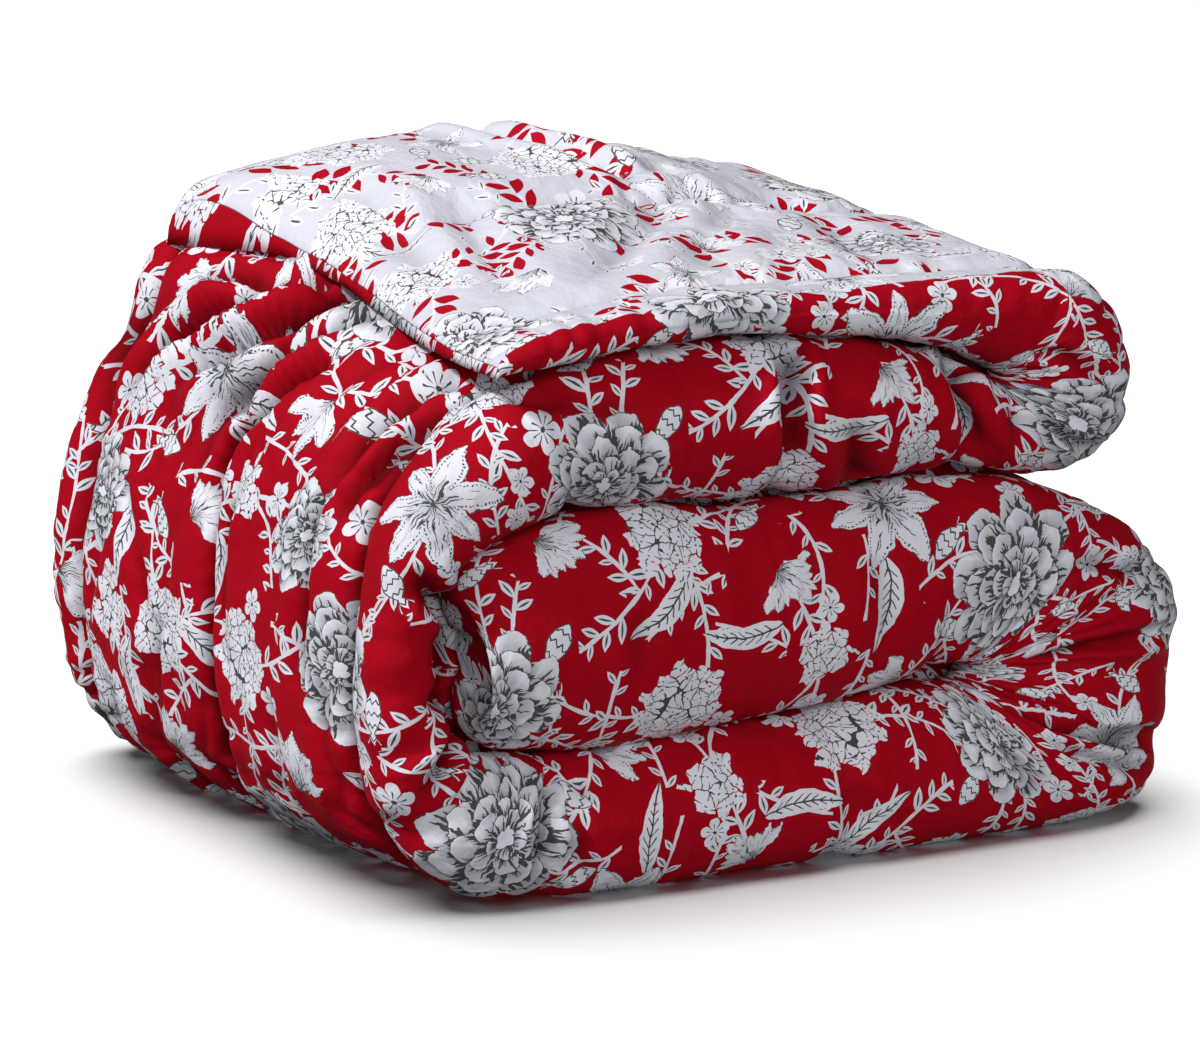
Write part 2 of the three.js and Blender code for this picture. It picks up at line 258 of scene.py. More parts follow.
def facePoints(section, y, share, side):
    # points of one face: side is 1 on the outer face and -1 on the other
    front, back, half, full = (section[key] for key in ("front", "back", "half", "full"))
    depth = np.clip((y - front) / (back - front), 0, 1)
    body = np.sin(np.pi * depth) ** quilt["puffPower"]
    tip = 1 - smooth(0, quilt["tipReach"], section["fromEnd"])
    grown = np.abs(section["swell"]) * (crownAt(y) * (1 - tip)
                                        + smooth(*quilt["tipPuff"], y) * tip)
    sewn = np.max([bell(y - seam, quilt["seamReach"]) for seam in seams], axis=0)
    dip = np.minimum(half * quilt["dipMost"], quilt["seamDip"])
    drawn = dip * sewn - quilt["puff"] * body * (1 - sewn)
    tucked = section["tuck"] * bell(np.minimum(y - front, back - y), quilt["tuckReach"])
    ratio = half / full
    thick = np.maximum(0, full + grown - drawn - tucked) * ratio * share
    sink = full * (1 - ratio) * (section["fromEnd"] < quilt["tipReach"])
    reach = np.sign(section["swell"]) * grown * ratio + sink + side * thick
    pull = bell(y - quilt["pullMiddle"], quilt["pullReach"]) * (1 - smooth(*quilt["pullStop"], y))
    inward = quilt["flapPull"] * pull * (1 - smooth(0, quilt["pullLength"], section["fromEnd"]))
    return settle(section["coreX"] + section["outX"] * reach + inward, y,
                  section["coreZ"] + section["outZ"] * reach)


def faceLines(section):
    # depth and edge share of the mesh lines of one face, from the front edge to the back one
    roll = np.minimum(quilt["rollMost"], section["half"])
    turns = [np.linspace(0, np.pi / 2, n, endpoint=False) for n in quilt["rollSteps"]]
    start, stop = section["front"] + section["tuck"], section["back"]
    near = start + roll * (1 - np.cos(turns[0]))
    far = stop - roll * (1 - np.cos(turns[1][::-1]))
    marks = [start + roll, seams[0] + 0 * roll, seams[1] + 0 * roll,
             np.minimum(seams[2], stop - roll - 2), stop - roll]
    flat = []
    for a, b, n in zip(marks, marks[1:], quilt["flatSteps"]):
        t = np.linspace(0, 1, n, endpoint=False)
        flat.append(a + (b - a) * (t - quilt["crowd"] * np.sin(2 * np.pi * t) / (2 * np.pi)))
    y = np.hstack([near, *flat, stop - roll, far])
    share = np.r_[np.sin(turns[0]), np.ones(sum(quilt["flatSteps"]) + 1),
                  np.sin(turns[1][::-1])]
    return y, share[None, :] + 0 * roll


def ringPoints(section):
    # the closed ring of both faces at every section
    y, share = faceLines(section)
    outer = facePoints(section, y, share, 1)
    inner = facePoints(section, y, share, -1)
    side = np.repeat([1.0, -1.0], y.shape[1])
    return (np.concatenate([outer, inner[:, ::-1]], axis=1),
            np.concatenate([y, y[:, ::-1]], axis=1), side)


def gridNormals(points, closed):
    if closed:
        wrapped = np.concatenate([points[:, -2:-1], points, points[:, 1:2]], axis=1)
        over = wrapped[:, 2:] - wrapped[:, :-2]
    else:
        over = np.gradient(points, axis=1)
    normal = np.cross(np.gradient(points, axis=0), over)
    return normal / np.maximum(np.linalg.norm(normal, axis=2, keepdims=True), 1e-6)


# Main creases: depth, width, then points of (cloth along the strip, girth from the middle of
# the front edge, outer face positive). A negative depth is a ridge.
creases = [
    # fan of folds from under the flap's corner
    (12, 10, (1755, 330), (1740, 350), (1705, 375), (1665, 435), (1610, 470)),
    (-9, 28, (1705, 700), (1720, 520), (1750, 430)),
    (7, 14, (1795, 320), (1745, 330)),
    (9, 12, (1760, 190), (1790, 280), (1795, 330), (1765, 500), (1760, 800)),
    (10, 9, (1755, 300), (1740, 320), (1705, 330), (1690, 345), (1650, 390), (1630, 405)),
    (10, 9, (1750, 260), (1700, 280), (1640, 325), (1610, 335)),
    (7, 9, (1700, 240), (1635, 285), (1570, 300)),
    (8, 8, (1740, 370), (1720, 390), (1710, 465)),
    (3, 8, (1580, 420), (1520, 370), (1450, 355)),
    (3, 8, (1590, 260), (1470, 240)),
    (3, 9, (1570, 430), (1510, 445), (1455, 470)),
    (4, 7, (1500, 345), (1420, 365)),
    # between the two seams of the wrapped side
    (5, 9, (1740, 130), (1680, 140), (1610, 140)),
    (6, 8, (1720, 110), (1590, 115)),
    (4, 9, (1620, 150), (1545, 135), (1465, 140)),
    (3, 10, (1735, 190), (1700, 205), (1610, 220)),
    (4, 9, (1520, 270), (1470, 270), (1420, 275), (1375, 290)),
    (3, 9, (1500, 110), (1395, 115), (1350, 105)),
    (3, 11, (1480, 180), (1345, 205)),
    # low on the wrapped side
    (4, 10, (1470, 370), (1340, 390)),
    (3, 9, (1440, 440), (1360, 450)),
    # front lobe and the pinch below it
    (7, 10, (1560, -60), (1585, 0), (1585, 25)),
    (8, 9, (1455, -110), (1440, -20), (1420, 35)),
    (4, 9, (1500, -80), (1490, 0)),
    # upper layer's front
    (9, 9, (1935, 65), (1925, 10), (1935, -50)),
    (5, 10, (2000, -65), (1985, -40), (1970, 15)),
    (3, 8, (1805, -10), (1815, -60)),
    (8, 10, (2120, 60), (2095, 40), (2085, 10), (2090, -50)),
    (4, 7, (2150, 20), (2130, 0), (2120, -30)),
    (5, 7, (2170, 30), (2200, -50)),
    (5, 6, (2345, 25), (2280, 5), (2240, -30)),
    (4, 8, (1730, 65), (1755, 40), (1785, 25), (1820, 20)),
    # inner layer's front
    (3, 10, (355, 35), (355, 10), (365, -50)),
    (3, 9, (170, 20), (170, -10), (175, -40)),
    (4, 8, (550, 25), (610, 45), (650, 75)),
    # bottom layer's front
    (5, 8, (1290, -50), (1310, -25), (1310, 0), (1285, 35)),
    (-4, 9, (1275, -40), (1290, -10), (1290, 15), (1270, 35)),
    (5, 8, (1265, -45), (1285, -20), (1280, 10), (1255, 40)),
    (3, 9, (1070, -10), (1050, 30)),
    (3, 9, (905, -30), (900, 0), (905, 35)),
    (7, 8, (815, -60), (790, -15), (760, 90)),
    (5, 7, (835, -20), (810, 10), (795, 55), (790, 90)),
    (6, 7, (655, -60), (690, 100)),
]
# the same on the flap's upper side, with the depth from front to back in place of the girth
topCreases = [
    (9, 12, (2590, 225), (2575, 150), (2555, 120), (2530, 25)),
    (5, 15, (2535, 20), (2570, -40), (2700, -160)),
    (3, 16, (2685, 60), (2715, -20), (2745, -170)),
    (3, 14, (2745, 120), (2765, 40), (2770, -120)),
    (3, 16, (2485, -10), (2545, -60), (2610, -190)),
    (2.5, 14, (2420, -20), (2450, -110), (2470, -200)),
    (3, 12, (2480, 90), (2520, 70), (2560, 90)),
]
wrinkle = {
    "groove": 14, "grooveReach": 3.6, "grooveMost": 0.55,      # the stitched line in its dip
    "deeper": 1.8,                                             # all the listed creases
    "puckerStep": 19, "puckerDepth": 6.5, "puckerReach": 30,   # either side of the sewn lines
    "gatherStep": 17, "gatherDepth": 2.6, "gatherReach": 62,   # round the rolled long edges
    "foldStep": 16, "foldDepth": 6, "foldSlant": 0.16,         # down the wrapped side
    "foldAlong": (1270, 1380, 1700, 1790), "foldRound": (50, 110, 560, 620),
    "lumpSize": 75, "lumpDepth": 2.4,                          # the filling's own unevenness
    "crinkleSize": 19, "crinkleDepth": 0.8,
    "fanAt": (1785, 292), "fanStep": 0.15, "fanDepth": 4,      # folds out from the flap's corner
    "fanReach": (15, 60, 150, 330), "fanTurn": (0.05, 0.25, 1.35, 1.6),
    "pocket": 22, "pocketAlong": 38, "pocketBack": (90, 200),  # the first end, in from the wrap
    "shade": (0, 11),                                          # depth of crease over which the painted shade comes in
    "tableSize": 64, "seed": 5,                                # the chance that all of it follows
}
wrinkleTable = np.random.default_rng(wrinkle["seed"]).uniform(-1, 1, (wrinkle["tableSize"],) * 2)


def uneven(x, y, shift):
    # smooth values from -1 to 1 that change over about one unit
    x, y = x + 7.3 * shift, y + 3.1 * shift
    ix, iy = np.floor(x).astype(int), np.floor(y).astype(int)
    fx, fy = smooth(0, 1, x - ix), smooth(0, 1, y - iy)
    size = wrinkle["tableSize"]
    corner = [wrinkleTable[(ix + a) % size, (iy + b) % size] for a in (0, 1) for b in (0, 1)]
    return ((corner[0] * (1 - fy) + corner[1] * fy) * (1 - fx)
            + (corner[2] * (1 - fy) + corner[3] * fy) * fx)


def hills(x, y, shift):
    # round hills between narrow valleys, unevenly spaced about one unit apart
    return 1.6 * np.abs(uneven(x, y, shift)) ** 0.7 - 0.75


def chance(middle, swing, x, y, shift, limits):
    # how strong an effect is from place to place
    return np.clip(middle + swing * uneven(x, y, shift), *limits)


def creaseDepth(along, aside, rows):
    # how far the listed creases move each point out of the cloth
    along, aside = np.broadcast_arrays(along, aside)
    moved = np.zeros(along.shape)
    for depth, width, *points in rows:
        line = np.array(points, dtype=float)
        low, high = line.min(axis=0) - 4 * width, line.max(axis=0) + 4 * width
        near = (along > low[0]) & (along < high[0]) & (aside > low[1]) & (aside < high[1])
        if not near.any():
            continue
        p = np.stack([along[near], aside[near]], axis=1)
        steps = np.diff(line, axis=0)
        lengths = np.linalg.norm(steps, axis=1)
        before = np.r_[0, np.cumsum(lengths)[:-1]]
        best, place = np.full(len(p), 1e9), np.zeros(len(p))
        for a, step, length, done in zip(line, steps, lengths, before):
            t = np.clip(((p - a) @ step) / length ** 2, 0, 1)
            distance = np.linalg.norm(p - a - t[:, None] * step, axis=1)
            closer = distance < best
            best = np.where(closer, distance, best)
            place = np.where(closer, done + t * length, place)
        # a sharp valley with a low bank on either side, fading out at its ends
        shape = -np.exp(-(best / width) ** 1.6) + 0.4 * bell(best - 2 * width, width * 0.9)
        moved[near] += depth * between((-0.02, 0.1, 0.6, 1), place / lengths.sum()) * shape
    return moved


def clothDetail(section, y, side, girth):
    # everything the cloth does on top of the plain folded shape, outwards in millimetres. A
    # length is divided by the distance over which an effect changes, also in millimetres.
    cloth, half = section["cloth"] + 0 * y, section["half"]
    # grooves and puckers at the sewn lines, each side of each line with its own
    away = np.array([np.abs(y - seam) for seam in seams])
    off, seam = away.min(axis=0), away.argmin(axis=0)
    which = seam * 2 + 7 * side + (y > np.take(seams, seam))
    groove = np.minimum(half * wrinkle["grooveMost"], wrinkle["groove"])
    wander = 0.7 * uneven(cloth / 45, which * 1.7, 1)
    moved = wrinkle["puckerDepth"] * chance(0.55, 0.9, cloth / 80, which * 2.3, 2, (0.08, 1.3)) \
        * np.exp(-off / wrinkle["puckerReach"]) * smooth(0, 6, off) \
        * hills(cloth / wrinkle["puckerStep"] + wander, off / 70 + which, 3) \
        - groove * np.exp(-off / wrinkle["grooveReach"])

    # gathers round the rolled long edges
    edge = np.minimum(y - section["front"], section["back"] - y)
    moved = moved + wrinkle["gatherDepth"] * bell(edge - 12, wrinkle["gatherReach"]) \
        * chance(0.35, 1.1, cloth / 95, (y > 0) * 3.7 + side, 4, (0, 1.2)) \
        * hills(cloth / wrinkle["gatherStep"] + 0.5 * uneven(y / 40, cloth / 60, 5),
                y / 150 + 5 * side, 6)

    # folds down the wrapped side
    slanted = girth + wrinkle["foldSlant"] * (cloth - wrinkle["foldAlong"][2])
    moved = moved + wrinkle["foldDepth"] \
        * between(wrinkle["foldAlong"], cloth) * between(wrinkle["foldRound"], girth) \
        * chance(0.5, 0.9, cloth / 150, girth / 90, 7, (0.05, 1.2)) \
        * hills(slanted / wrinkle["foldStep"] + 0.6 * uneven(cloth / 110, girth / 60, 8),
                cloth / 190, 9)

    # the fan out from the flap's corner
    across, up = wrinkle["fanAt"][0] - cloth, girth - wrinkle["fanAt"][1]
    turn, reach = np.arctan2(up, across), np.hypot(across, up)
    moved = moved + wrinkle["fanDepth"] * (0.75 + 0.5 * uneven(turn * 4, reach / 90, 12)) \
        * between(wrinkle["fanTurn"], turn) * between(wrinkle["fanReach"], reach) \
        * hills(turn / wrinkle["fanStep"] + 0.5 * uneven(reach / 70, turn * 3, 13),
                reach / 400, 14)

    lump, crinkle = wrinkle["lumpSize"], wrinkle["crinkleSize"]
    moved = moved + wrinkle["lumpDepth"] * uneven(cloth / lump, y / lump + 4 * side, 10)
    moved = moved + wrinkle["crinkleDepth"] * uneven((cloth + 0.4 * y) / crinkle,
                                                     0.6 * y / crinkle - 5 * side, 11)
    return moved * smooth(0, 16, half) * smooth(0, 40, section["fromEnd"])


def topDetail(section, y):
    # the flap's own creases on its upper side, none at the soft end
    return wrinkle["deeper"] * creaseDepth(section["cloth"] + 0 * y, y, topCreases) \
        * smooth(0, 30, section["fromEnd"])


def gridObject(name, points, uv, moved, thickness=0):
    # a grid shaped into cloth: its rows follow the strip and its columns go round it. It holds
    # each corner's place on the cloth, and how much painted shade each point gets from its depth in
    # a crease.
    rows, columns = points.shape[:2]
    bm = bmesh.new()
    bmesh.ops.create_grid(bm, x_segments=columns - 1, y_segments=rows - 1, size=1)
    clothLayer = bm.loops.layers.uv.new("cloth")
    paintedShadeLayer = bm.verts.layers.float.new("fold")
    places, folds = points.reshape(-1, 3) * 0.001, smooth(*wrinkle["shade"], -moved).ravel()
    for vert, place, onCloth, fold in zip(bm.verts, places, uv.reshape(-1, 2) * 0.001, folds):
        vert.co = place
        vert[paintedShadeLayer] = fold
        for loop in vert.link_loops:
            loop[clothLayer].uv = onCloth
    if thickness:
        bmesh.ops.solidify(bm, geom=bm.faces[:], thickness=thickness)
    bmesh.ops.remove_doubles(bm, verts=bm.verts[:], dist=1e-6)
    bmesh.ops.recalc_face_normals(bm, faces=bm.faces[:])
    mesh = bpy.data.meshes.new(name)
    bm.to_mesh(mesh)
    bm.free()
    mesh.polygons.foreach_set("use_smooth", [True] * len(mesh.polygons))
    return addObject(name, mesh)


# the filled body: a ring of both faces at every station along the cloth
stationCount = round(clothLength / quilt["cell"]) + 1
stations = sectionsAt(np.linspace(0, clothLength, stationCount))
ring, ringDepth, ringSide = ringPoints(stations)
backMiddle = ring.shape[1] // 2            # where the ring's outer face turns into its other one
ringOut = gridNormals(ring, True)
ringOut[:, backMiddle] = ringOut[:, backMiddle - 1]
girth = np.cumsum(np.r_["1", np.zeros((len(ring), 1)),
                        np.linalg.norm(np.diff(ring, axis=1), axis=2)], axis=1)
signedGirth = np.where(ringSide > 0, girth, girth - girth[:, -1:])
ringCloth = stations["cloth"] + 0 * girth
moved = clothDetail(stations, ringDepth, ringSide + 0 * girth, signedGirth)
moved = moved + wrinkle["deeper"] * creaseDepth(ringCloth, signedGirth, creases)
onTop = (ringSide < 0) & (stations["fromEnd"] < quilt["reverseLength"] + quilt["reverseMargin"])
moved = moved + np.where(onTop, topDetail(stations, ringDepth), 0)
moved[:, -1] = moved[:, 0]
moved[:, backMiddle] = moved[:, backMiddle - 1]
ring = ring + ringOut * moved[:, :, None]
ring[:, :, 0] += wrinkle["pocket"] * bell(stations["cloth"], wrinkle["pocketAlong"]) \
    * (1 - smooth(*wrinkle["pocketBack"], ringDepth - stations["front"]))
ring[:, :, 2] = np.maximum(ring[:, :, 2], 0)
quiltBody = gridObject("quilt", ring, np.stack([ringCloth, signedGirth], axis=-1), moved)
print("quilt: %d stations, %d round" % ring.shape[:2])


# the reverse cloth: a sheet on the flap's upper side, a little short of its end
panel = {"cell": 3.4, "columns": 150, "lift": 0.6, "thickness": 0.0016,
         "endInset": 5, "cornerInset": 9, "cornerFrom": (130, 215), "endRead": 40}
flapAlong = stripLength - quilt["reverseInset"]
flapStart, flapEnd = np.interp([flapAlong - quilt["reverseLength"], flapAlong],
                               fineAlong, fineCloth)
panelRows = round((flapEnd - flapStart) / panel["cell"]) + 1
panelShare = np.linspace(0, 1, panelRows)[:, None]
panelAcross = np.linspace(0, 1, panel["columns"])[None, :]


def panelDepth(section):
    # from the front roll to the back one
    roll = np.minimum(quilt["rollMost"], section["half"])
    front, back = section["front"] + roll, section["back"] - roll
    return front + (back - front) * panelAcross


endY = panelDepth(sectionsAt(np.array([flapEnd - panel["endRead"]])))
endInset = panel["endInset"] + panel["cornerInset"] * smooth(*panel["cornerFrom"], endY)
panelCloth = flapStart + (clothLength - endInset - flapStart) * panelShare
panelSections = {name: value.reshape(panelCloth.shape)
                 for name, value in sectionsAt(panelCloth.ravel()).items()}
panelY = panelDepth(panelSections)
panelPoints = facePoints(panelSections, panelY, 1, -1)
panelUp = -gridNormals(panelPoints, False)
panelMoved = clothDetail(panelSections, panelY, -1, 0) + topDetail(panelSections, panelY)
panelPoints = panelPoints + panelUp * (panel["lift"] + panelMoved)[:, :, None]
reverseCloth = gridObject("reverse_cloth", panelPoints,
                          np.stack([panelCloth, panelY], axis=-1), panelMoved, panel["thickness"])
print("reverse cloth: %d by %d" % panelPoints.shape[:2])


# One repeat of the print in millimetres of cloth, with a half-drop between its columns. The
# blooms, sprigs and stems are arranged once from a fixed seed, as a designer fills a repeat.
printChart = {
    "width": 430, "height": 540, "seed": 11,
    # kind, half size, petals, spread, how many, room round it
    "blooms": [("peony", 76, 11, math.pi, 1, 5), ("peony", 58, 9, math.pi, 2, 4),
               ("lily", 58, 7, math.pi, 2, 4), ("cluster", 42, 4, 0.0, 4, 4),
               ("peony", 42, 8, math.pi, 2, 4), ("lily", 50, 4, 1.0, 3, 0),
               ("lily", 38, 9, 1.25, 3, 2), ("lily", 36, 5, math.pi, 2, 3),
               ("cluster", 30, 4, 0.0, 3, 4)],
    "smalls": [("leaf", 32, 0, 0.0, 6, -8), ("rosette", 17, 5, 0.0, 9, 3),
               ("pod", 19, 0, 0.0, 16, 0), ("rosette", 12, 5, 0.0, 12, 2)],
    "kinds": {"peony": 1, "cluster": 2, "lily": 3, "pod": 1, "leaf": 2, "rosette": 3},
    "scale": (0.9, 1.08),            # of a motif's half size
    "marks": (1, 60),                # the number that varies one bloom or stem from the next
    "smallCover": 0.85, "overlap": 0.4,   # how near a small motif comes to a bloom
    "stems": (26, 36),               # from the blooms, and on their own
    "stemLength": ((45, 105), (45, 90)), "stemBend": (0.004, 0.013), "stemStep": 2.5,
    "stemGap": 23,                   # between two stems of the same layer
    "stemClear": 0.8,                # the share of a bloom that hides a stem
    "stemHidden": 0.3,               # the most of a lone stem that blooms may hide
    "stemEnds": (-2, 3),             # how far past its two ends a stem is still drawn
    "patch": 2.5,                    # the squares that the nearest stem is looked up in
    "motifTries": 4000, "stemTries": 6000,
}
chartDraw = np.random.default_rng(printChart["seed"])
chartWidth, chartHeight, stemStep = (printChart[key] for key in ("width", "height", "stemStep"))


def wrapAround(across, up):
    # the same step, taken to the nearest repeat
    column = np.round(across / chartWidth)
    drop = column * chartHeight / 2
    row = np.round((up - drop) / chartHeight)
    return across - column * chartWidth, up - drop - row * chartHeight


def placeMotifs(rows, taken):
    # clear of each other, and nearly clear of those already taken
    placed = []
    for kind, size, petals, spread, count, room in rows:
        made = 0
        for attempt in range(printChart["motifTries"]):
            if made == count:
                break
            x, y = chartDraw.uniform((0, 0), (chartWidth, chartHeight))
            near = [np.hypot(*wrapAround(x - m[1], y - m[2])) > m[4] + size + room
                    for m in placed]
            near += [np.hypot(*wrapAround(x - m[1], y - m[2]))
                     > m[4] * printChart["smallCover"] + size * printChart["overlap"]
                     for m in taken]
            if all(near):
                turn = chartDraw.uniform(-math.pi, math.pi)
                scale = chartDraw.uniform(*printChart["scale"])
                mark = printChart["kinds"][kind] + 10 * chartDraw.integers(*printChart["marks"])
                placed.append((mark, x, y, turn, size * scale, petals, spread))
                made += 1
    return placed


def placeStems(layer, blooms):
    # smooth arcs as rows of x, y, heading, length so far, whole length and seed
    arcs = []
    for attempt in range(printChart["stemTries"]):
        if len(arcs) == printChart["stems"][layer]:
            break
        if layer == 0:
            start = blooms[chartDraw.integers(len(blooms))]
            x, y, clear = start[1], start[2], start[4]
        else:
            x, y = chartDraw.uniform((0, 0), (chartWidth, chartHeight))
            clear = 0
        length = clear + chartDraw.uniform(*printChart["stemLength"][layer])
        bend = chartDraw.choice([-1, 1]) * chartDraw.uniform(*printChart["stemBend"])
        steps = np.arange(0, length, stemStep)
        heading = chartDraw.uniform(-math.pi, math.pi) + bend * steps
        xs = x + np.cumsum(np.cos(heading)) * stemStep
        ys = y + np.cumsum(np.sin(heading)) * stemStep
        arc = np.stack([xs, ys, heading, steps, 0 * xs + length,
                        0 * xs + chartDraw.integers(*printChart["marks"])], axis=1)
        seen = arc[steps > clear * printChart["stemClear"]]
        tooNear = any(
            np.hypot(*wrapAround(seen[:, None, 0] - other[None, :, 0],
                                 seen[:, None, 1] - other[None, :, 1])).min()
            < printChart["stemGap"] for other in arcs)
        if layer == 1 and not tooNear:
            inside = [np.hypot(*wrapAround(seen[:, 0] - m[1], seen[:, 1] - m[2]))
                      < m[4] * printChart["stemClear"] for m in blooms]
            tooNear = np.any(inside, axis=0).mean() > printChart["stemHidden"]
        if not tooNear:
            arcs.append(arc)
    return np.concatenate(arcs)


blooms = placeMotifs(printChart["blooms"], [])
smalls = placeMotifs(printChart["smalls"], blooms)
stems = [placeStems(layer, blooms) for layer in (0, 1)]
print("chart: %d blooms, %d small motifs" % (len(blooms), len(smalls)))

# which stem each small patch of the repeat is nearest to
patch = printChart["patch"]
patchX, patchY = np.meshgrid((np.arange(round(chartWidth / patch)) + 0.5) * patch,
                             (np.arange(round(chartHeight / patch)) + 0.5) * patch,
                             indexing="ij")
nearestStem = []
for samples in stems:
    least = np.full(patchX.shape, 1e9)
    pick = np.zeros(patchX.shape, dtype=int)
    for k, sample in enumerate(samples):
        stepX, stepY = wrapAround(patchX - sample[0], patchY - sample[1])
        distance = stepX ** 2 + stepY ** 2
        pick[distance < least] = k
        least = np.minimum(least, distance)
    nearestStem.append(pick)


def turned(place, angle):
    # the same place, along and across a direction
    cos, sin = np.cos(angle), np.sin(angle)
    return place[:, 0] * cos + place[:, 1] * sin, place[:, 1] * cos - place[:, 0] * sin


def layPrint(piece):
    # gives every face the motif and the stem it lies on, in that motif's own millimetres
    mesh = piece.data
    uv = np.empty(len(mesh.loops) * 2, dtype=np.float32)
    mesh.uv_layers["cloth"].data.foreach_get("uv", uv)
    uv = uv.reshape(-1, 2) * 1000
    starts = np.empty(len(mesh.polygons), dtype=np.int32)
    totals = np.empty(len(mesh.polygons), dtype=np.int32)
    mesh.polygons.foreach_get("loop_start", starts)
    mesh.polygons.foreach_get("loop_total", totals)
    centre = np.add.reduceat(uv, starts, axis=0) / totals[:, None]
    face = np.arange(len(starts))
    ofFace = np.repeat(face, totals)
    fromCentre = uv - centre[ofFace]

    def store(name, *values):
        layer = mesh.attributes.new(name, "FLOAT_VECTOR", "CORNER")
        layer.data.foreach_set("vector", np.stack(values, axis=1).astype(np.float32).ravel())

    for name, motifs in (("bloom", blooms), ("small", smalls)):
        table = np.array(motifs)
        across, up = wrapAround(centre[:, None, 0] - table[None, :, 1],
                                centre[:, None, 1] - table[None, :, 2])
        pick = np.argmin(np.hypot(across, up) / table[None, :, 4], axis=1)
        chosen = table[pick][ofFace]
        local = np.stack([across[face, pick], up[face, pick]], axis=1)[ofFace] + fromCentre
        store(name, *turned(local, chosen[:, 3]), chosen[:, 0])
        store(name + "Trait", *chosen[:, 4:7].T)
    column = np.floor(centre[:, 0] / chartWidth)
    patchColumn = ((centre[:, 0] - column * chartWidth) / patch).astype(int)
    patchRow = ((centre[:, 1] - column * chartHeight / 2) % chartHeight / patch).astype(int)
    for name, samples, nearest in zip(("stem", "sprig"), stems, nearestStem):
        chosen = samples[nearest[patchColumn % nearest.shape[0], patchRow % nearest.shape[1]]]
        step = np.stack(wrapAround(*(centre - chosen[:, :2]).T), axis=1)
        # a face past either end of its stem is put far to the side, where nothing is drawn
        ahead = chosen[:, 3] + turned(step, chosen[:, 2])[0]
        beyond = (ahead > chosen[:, 4] + printChart["stemEnds"][1]) \
            | (ahead < printChart["stemEnds"][0])
        chosen = chosen[ofFace]
        along, aside = turned(step[ofFace] + fromCentre, chosen[:, 2])
        store(name, chosen[:, 3] + along, np.where(beyond[ofFace], 99, aside), chosen[:, 5])


# The print is drawn by nodes in each motif's own coordinates. A row adds one node: the name of
# what comes out, the node or the sign of a math one, what goes in, and settings. Where a value
# goes in, a row without a name may stand.
signs = {
    "Math": {"+": "ADD", "-": "SUBTRACT", "*": "MULTIPLY", "/": "DIVIDE", "^": "POWER",
             "*+": "MULTIPLY_ADD", ">": "GREATER_THAN", "<": "LESS_THAN", "max": "MAXIMUM",
             "min": "MINIMUM", "abs": "ABSOLUTE", "sin": "SINE", "cos": "COSINE",
             "atan2": "ARCTAN2", "floor": "FLOOR", "round": "ROUND", "fract": "FRACT",
             "mod": "MODULO", "pingpong": "PINGPONG", "is": "COMPARE"},
    "VectorMath": {"v+": "ADD", "v-": "SUBTRACT", "v*": "MULTIPLY", "length": "LENGTH"},
}


def addRow(tree, made, kind, *inputs):
    settings = {}
    if inputs and isinstance(inputs[-1], dict):
        *inputs, settings = inputs
    for node, operations in signs.items():
        if kind in operations:
            kind, settings = node, {"operation": operations[kind]}
            break
    ready = []
    for value in inputs:
        if isinstance(value, tuple) and isinstance(value[0], str):
            value = addRow(tree, made, *value).outputs[0]
        ready.append(made[value] if isinstance(value, str) else value)
    return addNode(tree, kind, settings, ready)


def addRows(tree, made, rows):
    for name, *row in rows:
        node = addRow(tree, made, *row)
        made[name] = node.outputs[0]
        for output in node.outputs:
            made[name + "." + output.name] = output


def readStored(tree, made, stored, names):
    # what layPrint stored at each corner, as values with these names
    layer = addNode(tree, "Attribute", {"attribute_name": stored, "attribute_type": "GEOMETRY"}, [])
    parts = addNode(tree, "SeparateXYZ", {}, [layer.outputs["Vector"]])
    made.update(zip(names, parts.outputs))


def peonyRows():
    # rings of scalloped petals, each over the one outside it: how far its petals reach, how deep
    # they are cut, how many there are, and how far the ring is turned
    rings = [(1.00, 0.30, 9, 0.0), (0.80, 0.24, 8, 0.7), (0.61, 0.20, 7, 1.9),
             (0.43, 0.15, 6, 0.4), (0.27, 0.10, 5, 1.2), (0.13, 0.05, 4, 0.3)]
    rows = []
    for k, (edge, depth, petals, phase) in enumerate(rings):
        inside = "inside" if k else "peonyFill"      # the outermost ring bounds the flower
        rows += [
            ("wave", "sin", ("*+", "bloomTurn", petals / 2, phase)),
            ("lobe", "^", ("abs", "wave"), 0.55),
            ("gap", "-", ("*+", "lobe", depth, edge - depth), "bloomR"),
            (inside, ">", "gap", 0), ("ring", "+", "ring", inside),
            ("outGap", "min", "outGap", ("+", "gap", ("*+", inside, -9, 9))),
            ("inGap", "min", "inGap", ("-", ("*", inside, 9), "gap"))]
    return rows + [
        # pen strokes that come out from under the ring above, and a line round each ring
        ("strokeX", "*", "bloomTurn", ("*+", "ring", -2.4, 19.5)),
        ("strokeAt", "CombineXYZ", "strokeX", "bloomR", ("*", "ring", 5.3)),
        ("strokes", "TexNoise", "strokeAt", None, 1.0, 1.0, 0.5),
        ("stroke", ">", "strokes", ("*+", "inGap", 1.5, 0.45)),
        ("peonyInk", "max", "stroke", ("<", "outGap", "penWidth")),
        ("peonyShade", "max", ("*+", "inGap", -5.0, 1.0), 0)]


